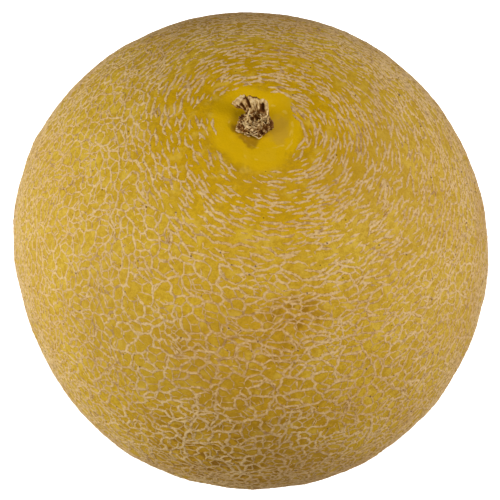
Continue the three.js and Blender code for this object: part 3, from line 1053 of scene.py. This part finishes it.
def newGroup(name, inputs, outputs):
    tree = bpy.data.node_groups.new(name, "ShaderNodeTree")
    for label, kind, value in inputs:
        socket = tree.interface.new_socket(label, in_out="INPUT", socket_type=kind)
        if value is not None:
            socket.default_value = value
    for label, kind in outputs:
        tree.interface.new_socket(label, in_out="OUTPUT", socket_type=kind)
    return tree, tree.nodes.new("NodeGroupInput").outputs, tree.nodes.new("NodeGroupOutput").inputs


def cloudGroup():  # soft patches
    tree, given, result = newGroup("softPatches", [
        ("Vector", "NodeSocketVector", None),
        ("Scale", "NodeSocketFloat", 100), ("Detail", "NodeSocketFloat", 2),
        ("Low", "NodeSocketFloat", 0.4), ("High", "NodeSocketFloat", 0.6),
    ], [("Mask", "NodeSocketFloat")])
    noise = addNode(tree, "ShaderNodeTexNoise", None, {
        "Vector": given["Vector"], "Scale": given["Scale"], "Detail": given["Detail"], "Roughness": 0.55,
    })
    ramp = addNode(tree, "ShaderNodeMapRange", {"interpolation_type": "SMOOTHSTEP"}, {
        "Value": noise.outputs["Fac"], "From Min": given["Low"], "From Max": given["High"],
    })
    tree.links.new(ramp.outputs["Result"], result["Mask"])
    return tree


def speckGroup():  # scattered small dots
    tree, given, result = newGroup("specks", [
        ("Vector", "NodeSocketVector", None), ("Scale", "NodeSocketFloat", 400),
        ("Size", "NodeSocketFloat", 0.2), ("Share", "NodeSocketFloat", 0.1),
    ], [("Mask", "NodeSocketFloat")])
    cells = addNode(tree, "ShaderNodeTexVoronoi", {"feature": "F1"}, {
        "Vector": given["Vector"], "Scale": given["Scale"],
    })
    core = calculate(tree, "MULTIPLY", given["Size"], 0.45)
    dot = addNode(tree, "ShaderNodeMapRange", {"interpolation_type": "SMOOTHSTEP"}, {
        "Value": cells.outputs["Distance"], "From Min": given["Size"], "From Max": core,
    })
    dice = addNode(tree, "ShaderNodeSeparateColor", None, {"Color": cells.outputs["Color"]})
    chosen = calculate(tree, "LESS_THAN", dice.outputs[0], given["Share"])
    tree.links.new(calculate(tree, "MULTIPLY", dot.outputs["Result"], chosen), result["Mask"])
    return tree


def grainGroup():  # the height of a fine grain
    tree, given, result = newGroup("fineGrain", [
        ("Vector", "NodeSocketVector", None),
        ("Scale", "NodeSocketFloat", 1500), ("Pits", "NodeSocketFloat", 0.5),
    ], [("Height", "NodeSocketFloat")])
    fine = addNode(tree, "ShaderNodeTexNoise", None, {
        "Vector": given["Vector"], "Scale": given["Scale"], "Detail": 3.0, "Roughness": 0.6,
    })
    cells = addNode(tree, "ShaderNodeTexVoronoi", {"feature": "SMOOTH_F1"}, {
        "Vector": given["Vector"], "Scale": given["Scale"], "Smoothness": 0.4,
    })
    pits = calculate(tree, "MULTIPLY", cells.outputs["Distance"], given["Pits"])
    tree.links.new(calculate(tree, "ADD", fine.outputs["Fac"], pits), result["Height"])
    return tree


softPatches, specks, fineGrain = cloudGroup(), speckGroup(), grainGroup()


class Finish:  # one material being made: a principled shader and the colour that is built up for it
    def __init__(self, name, colour, roughness, specular):
        self.material = bpy.data.materials.new(name)
        self.material.use_nodes = True
        self.tree = self.material.node_tree
        self.shader = self.tree.nodes["Principled BSDF"]
        self.shader.inputs["Roughness"].default_value = roughness
        self.shader.inputs["Specular IOR Level"].default_value = specular
        self.spot = addNode(self.tree, "ShaderNodeTexCoord").outputs["Object"]
        self.colour = (*linear(*colour), 1)

    def group(self, group, **inputs):
        node = addNode(self.tree, "ShaderNodeGroup", {"node_tree": group}, {"Vector": self.spot, **inputs})
        return node.outputs[0]

    def value(self, name):
        return addNode(self.tree, "ShaderNodeAttribute", {"attribute_name": name}).outputs["Fac"]

    def ramp(self, value, low, high):  # 0 at low and 1 at high
        return addNode(self.tree, "ShaderNodeMapRange", {"interpolation_type": "SMOOTHSTEP"}, {
            "Value": value, "From Min": low, "From Max": high,
        }).outputs["Result"]

    def attribute(self, name, low, high):
        return self.ramp(self.value(name), low, high)

    def times(self, first, second):
        return calculate(self.tree, "MULTIPLY", first, second)

    def plus(self, first, second):
        return calculate(self.tree, "ADD", first, second)

    def tint(self, mask, colour, strength=1.0):  # lays a colour over what is there
        share = self.times(mask, strength) if strength != 1.0 else mask
        self.colour = addNode(self.tree, "ShaderNodeMix", {"data_type": "RGBA"}, {
            0: share, 6: self.colour, 7: (*linear(*colour), 1),
        }).outputs[2]

    def bump(self, height, distance):
        bump = addNode(self.tree, "ShaderNodeBump", None, {"Height": height, "Distance": distance})
        self.tree.links.new(bump.outputs["Normal"], self.shader.inputs["Normal"])

    def done(self, *pieces):
        self.tree.links.new(self.colour, self.shader.inputs["Base Color"])
        for piece in pieces:
            piece.data.materials.append(self.material)


def skinFinish():
    skin = Finish("yellow skin", (212, 176, 50), 0.6, 0.06)
    skin.tint(skin.group(softPatches, Scale=45.0, Low=0.42, High=0.62), (202, 162, 44), 0.7)
    skin.tint(skin.attribute("pale", 0.1, 0.9), (206, 172, 82), 0.6)
    skin.tint(skin.attribute("ripe", 0.2, 1.0), (190, 138, 24), 0.7)
    skin.tint(skin.attribute("gold", 0.0, 1.0), (204, 160, 2))
    skin.tint(skin.group(softPatches, Scale=700.0, Detail=3.0, Low=0.44, High=0.62), (178, 136, 22), 0.5)
    skin.tint(skin.group(softPatches, Scale=1900.0, Detail=2.0, Low=0.46, High=0.62), (176, 134, 20), 0.4)
    blotches = skin.group(softPatches, Scale=330.0, Detail=4.0, Low=0.44, High=0.6)
    skin.tint(skin.times(skin.attribute("ripe", 0.5, 1.0), blotches), (142, 96, 18), 0.8)
    skin.tint(skin.group(softPatches, Scale=260.0, Detail=3.0, Low=0.5, High=0.68), (226, 192, 84), 0.4)
    skin.tint(skin.group(softPatches, Scale=18.0, Detail=2.0, Low=0.5, High=0.66), (178, 138, 40), 0.4)
    skin.tint(skin.attribute("bare", 0.0, 1.0), (218, 174, 0), 0.85)
    skin.tint(skin.attribute("dull", 0.1, 0.9), (190, 150, 54), 0.55)
    skin.tint(skin.attribute("mark", 0.1, 0.9), (226, 190, 84), 0.45)
    # the brown wedge before the stub, with painted shade round the stub's foot
    skin.tint(skin.attribute("stainAndShade", 0.1, 0.95), (150, 108, 18), 0.8)
    skin.tint(skin.attribute("scar", 0.1, 0.9), (150, 116, 66), 0.9)
    skin.tint(skin.group(specks, Scale=600.0, Size=0.2, Share=0.03), (84, 50, 22), 0.8)
    skin.bump(skin.group(fineGrain, Scale=1500.0, Pits=0.5), 0.0001)
    skin.done(rind)


def corkFinish():
    cork = Finish("tan cork", (220, 189, 137), 0.8, 0.1)
    cork.tint(cork.group(softPatches, Scale=60.0, Low=0.42, High=0.66), (206, 168, 112), 0.8)
    cork.tint(cork.group(softPatches, Scale=1300.0, Detail=3.0, Low=0.46, High=0.62), (182, 142, 90), 0.5)
    cork.tint(cork.group(softPatches, Scale=18.0, Detail=2.0, Low=0.5, High=0.66), (184, 148, 98), 0.4)
    cork.tint(cork.attribute("ripe", 0.1, 1.0), (196, 152, 88), 0.65)
    cork.tint(cork.attribute("slight", 0.0, 1.0), (186, 149, 76), 0.38)
    crest = cork.value("crest")
    ragged = cork.plus(crest, cork.group(softPatches, Scale=1100.0, Detail=3.0, Low=0.3, High=0.7))
    # painted highlight: the cork is paler on the strands' crests
    cork.tint(cork.ramp(ragged, 1.25, 1.75), (236, 206, 158), 0.5)
    # painted shade: the strands' feet are brown, and their very edges deeper brown
    cork.tint(cork.ramp(ragged, 0.95, 0.6), (176, 132, 46))
    cork.tint(cork.ramp(ragged, 0.5, 0.2), (140, 96, 34), 0.6)
    cork.tint(cork.group(softPatches, Scale=380.0, Detail=4.0, Low=0.56, High=0.68), (150, 108, 60), 0.55)
    cork.tint(cork.group(specks, Scale=600.0, Size=0.24, Share=0.11), (80, 50, 28), 0.8)
    cork.bump(cork.group(fineGrain, Scale=2200.0, Pits=0.3), 0.00012)
    cork.done(*netPieces)


def stemFinish():
    dry = Finish("dry stem", (206, 172, 114), 0.85, 0.12)
    # the light value holds the stem's own paler and darker fibres together with painted light and shade: pale
    # highlights on raised lumps and the fibres' upper sides, painted shade in hollows, valleys, the fan's
    # foot, back and torn edge
    dry.tint(dry.attribute("light", 0.7, 1.0), (240, 214, 164), 0.9)
    dry.tint(dry.group(softPatches, Scale=1100.0, Detail=3.0, Low=0.46, High=0.62), (176, 134, 74), 0.55)
    dry.tint(dry.attribute("light", 0.65, 0.35), (136, 88, 34), 0.95)
    dry.tint(dry.attribute("light", 0.4, 0.12), (92, 52, 16), 1.0)
    dry.bump(dry.group(fineGrain, Scale=2600.0, Pits=0.4), 0.0002)
    dry.done(stem)


skinFinish()
corkFinish()
stemFinish()
print("finishes made")


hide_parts("fruit")
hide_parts("stem_stub")
for piece in [rind] + netPieces:
    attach(piece, "root")
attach(stem, "root")

studio = {  # metres and degrees, but the lens and the sensor are in millimetres
    "distance": 0.8785, "elevation": 60.2, "lens": 206, "sensor": 36, "target": 0.0696, "roll": 2.8,
    "lights": {  # to the right of and above the line of sight, width, watts, colour
        "left softbox": (-70, -7, 0.62, 8.1, (0.965, 1, 0.975)),
        "right softbox": (52, 5, 0.7, 7.0, (1, 0.99, 0.98)),
        "top softbox": (-12, 30, 0.7, 3.0, (1, 0.94, 0.86)),
    },
    "fromAbove": 0.05, "fromBelow": 0.53,  # brightness of the dim light from all round
    "horizon": 0.15, "surround": (1, 0.9, 0.76, 1),  # half the height over which it changes, and its colour
    "floorHalf": 3, "floorGlow": 1.0,
}


def lineOfSight():  # from the fruit to the camera
    lift = math.radians(studio["elevation"])
    return Vector((0, -math.cos(lift), math.sin(lift)))


def studioCamera():
    target = Vector((0, 0, studio["target"]))
    camera = bpy.data.objects.new("camera", bpy.data.cameras.new("camera"))
    camera.data.lens = studio["lens"]
    camera.data.sensor_width = studio["sensor"]
    camera.location = target + lineOfSight() * studio["distance"]
    camera.rotation_euler = (math.radians(90 - studio["elevation"]), 0, 0)
    camera.rotation_euler.rotate_axis("Z", math.radians(studio["roll"]))
    bpy.context.scene.collection.objects.link(camera)
    bpy.context.scene.camera = camera


def softLight(name, aside, rise, size, power, colour):
    turn = math.radians(aside)
    lift = math.radians(rise)
    sight = lineOfSight()
    over = Vector((0, sight.z, -sight.y))
    target = Vector((0, 0, studio["target"]))
    lamp = bpy.data.lights.new(name, "AREA")
    lamp.shape = "DISK"
    lamp.size = size
    lamp.energy = power
    lamp.color = colour
    light = bpy.data.objects.new(name, lamp)
    outward = sight * math.cos(turn) + Vector((math.sin(turn), 0, 0))
    light.location = target + outward * math.cos(lift) + over * math.sin(lift)
    light.rotation_euler = (target - light.location).to_track_quat("-Z", "Y").to_euler()
    light.visible_camera = False
    bpy.context.scene.collection.objects.link(light)


def studioWorld():  # dim light from all round, brighter off the table below, which the camera sees as white
    world = bpy.data.worlds.new("studio")
    world.use_nodes = True
    tree = world.node_tree
    seen = addNode(tree, "ShaderNodeLightPath").outputs["Is Camera Ray"]
    way = addNode(tree, "ShaderNodeTexCoord").outputs["Generated"]
    height = addNode(tree, "ShaderNodeSeparateXYZ", None, {"Vector": way}).outputs["Z"]
    dim = addNode(tree, "ShaderNodeMapRange", None, {
        "Value": height, "From Min": -studio["horizon"], "From Max": studio["horizon"],
        "To Min": studio["fromBelow"], "To Max": studio["fromAbove"],
    })
    strength = addNode(tree, "ShaderNodeMapRange", None, {
        "Value": seen, "To Min": dim.outputs["Result"], "To Max": 1.0,
    })
    colour = addNode(tree, "ShaderNodeMix", {"data_type": "RGBA"}, {
        0: seen, 6: studio["surround"], 7: (1, 1, 1, 1),
    })
    tree.links.new(colour.outputs[2], tree.nodes["Background"].inputs["Color"])
    tree.links.new(strength.outputs["Result"], tree.nodes["Background"].inputs["Strength"])
    bpy.context.scene.world = world


def studioFloor():
    mesh = bpy.data.meshes.new("floor")
    half = studio["floorHalf"]
    corners = [(-half, -half, 0), (half, -half, 0), (half, half, 0), (-half, half, 0)]
    mesh.from_pydata(corners, [], [(0, 1, 2, 3)])
    floor = bpy.data.objects.new("floor", mesh)
    material = bpy.data.materials.new("floor")
    material.use_nodes = True
    shader = material.node_tree.nodes["Principled BSDF"]
    shader.inputs["Base Color"].default_value = (0.9, 0.9, 0.9, 1)
    shader.inputs["Roughness"].default_value = 0.9
    shader.inputs["Emission Color"].default_value = (1, 1, 1, 1)
    shader.inputs["Emission Strength"].default_value = studio["floorGlow"]
    mesh.materials.append(material)
    bpy.context.scene.collection.objects.link(floor)
    floor.visible_diffuse = False  # so the floor's own brightness doesn't flatten the fruit's shading
    floor.visible_glossy = False
    floor.visible_shadow = False  # and lets the light from below pass


studioCamera()
for name, settings in studio["lights"].items():
    softLight(name, *settings)
studioWorld()
studioFloor()
bpy.context.scene.view_settings.view_transform = "Standard"
